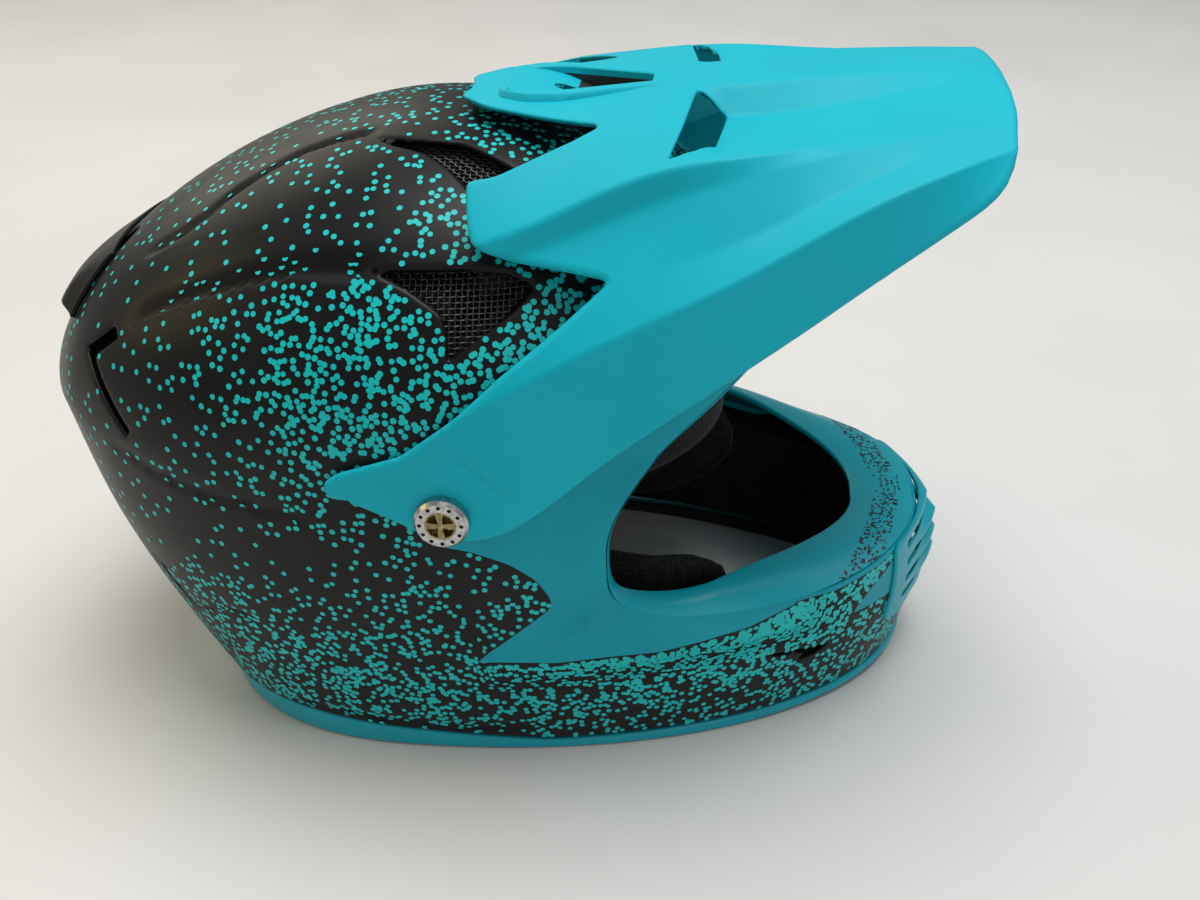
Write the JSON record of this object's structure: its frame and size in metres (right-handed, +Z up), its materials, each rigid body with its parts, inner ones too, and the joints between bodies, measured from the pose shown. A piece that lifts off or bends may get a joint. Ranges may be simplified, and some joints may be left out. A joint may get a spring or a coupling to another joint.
{
  "type": "full-face mountain bike helmet",
  "caption": "Full-face mountain bike helmet: shell with eye port, ribbed chin vent and mesh vents, tilting visor on thumb screws, foam liner, pads and a D-ring chin strap.",
  "frame": {"origin": "centre of the bounding box's underside, on the table the helmet stands on", "axes": "-Y the way the face looks, +X the wearer's left, +Z up"},
  "size_m": [0.2522, 0.391, 0.2674],
  "materials": {
    "shell": "matte",
    "trim": "satin",
    "visor": "matte",
    "mesh": "satin",
    "foam": "matte",
    "lining": "matte",
    "pad": "matte",
    "bush": "satin",
    "webbing": "matte",
    "snap": "satin",
    "steel": "polished"
  },
  "bodies": {
    "helmet": {"outer_shell": "shell", "base_trim": "trim", "port_trim": "trim", "mouth_grille": "trim", "mouth_screen": "mesh", "top_screen_right": "mesh", "top_screen_left": "mesh", "side_screen_right": "mesh", "side_screen_left": "mesh", "crown_foam": "foam", "chin_foam": "foam", "comfort_liner": "lining", "neck_roll": "lining", "cheek_pad_right": "pad", "cheek_pad_left": "pad", "arm_washer_right": "bush", "arm_washer_left": "bush", "side_insert_right": "steel", "side_insert_left": "steel", "centre_screw": "steel", "centre_insert": "steel", "strap_right": "webbing", "strap_left": "webbing", "strap_anchor_right": "steel", "strap_anchor_left": "steel", "strap_snap_cap": "snap", "strap_snap_stud": "snap"},
    "visor": {"visor": "visor", "arm_bush_right": "bush", "arm_bush_left": "bush"},
    "side_screw_right": {"side_screw_right": "steel"},
    "side_screw_left": {"side_screw_left": "steel"},
    "d_ring_outer": {"d_ring_outer": "steel"},
    "d_ring_inner": {"d_ring_inner": "steel"}
  },
  "joints": [
    {"name": "visor_tilt", "type": "hinge", "parent": "helmet", "child": "visor", "pos_m": [0, 0.0065, 0.136], "axis": [-1, 0, 0], "range_deg": [-6.5, 6.5]},
    {"name": "side_screw_right_turn", "type": "hinge", "parent": "helmet", "child": "side_screw_right", "pos_m": [-0.122, 0.0065, 0.136], "axis": [-1, 0, 0], "continuous": true},
    {"name": "side_screw_left_turn", "type": "hinge", "parent": "helmet", "child": "side_screw_left", "pos_m": [0.122, 0.0065, 0.136], "axis": [1, 0, 0], "continuous": true},
    {"name": "d_ring_outer_swing", "type": "hinge", "parent": "helmet", "child": "d_ring_outer", "pos_m": [-0.043, -0.0045, 0.00325], "axis": [0, -1, 0], "range_deg": [0, 140]},
    {"name": "d_ring_inner_swing", "type": "hinge", "parent": "helmet", "child": "d_ring_inner", "pos_m": [-0.038, -0.0045, 0.00325], "axis": [0, -1, 0], "range_deg": [0, 140]}
  ]
}
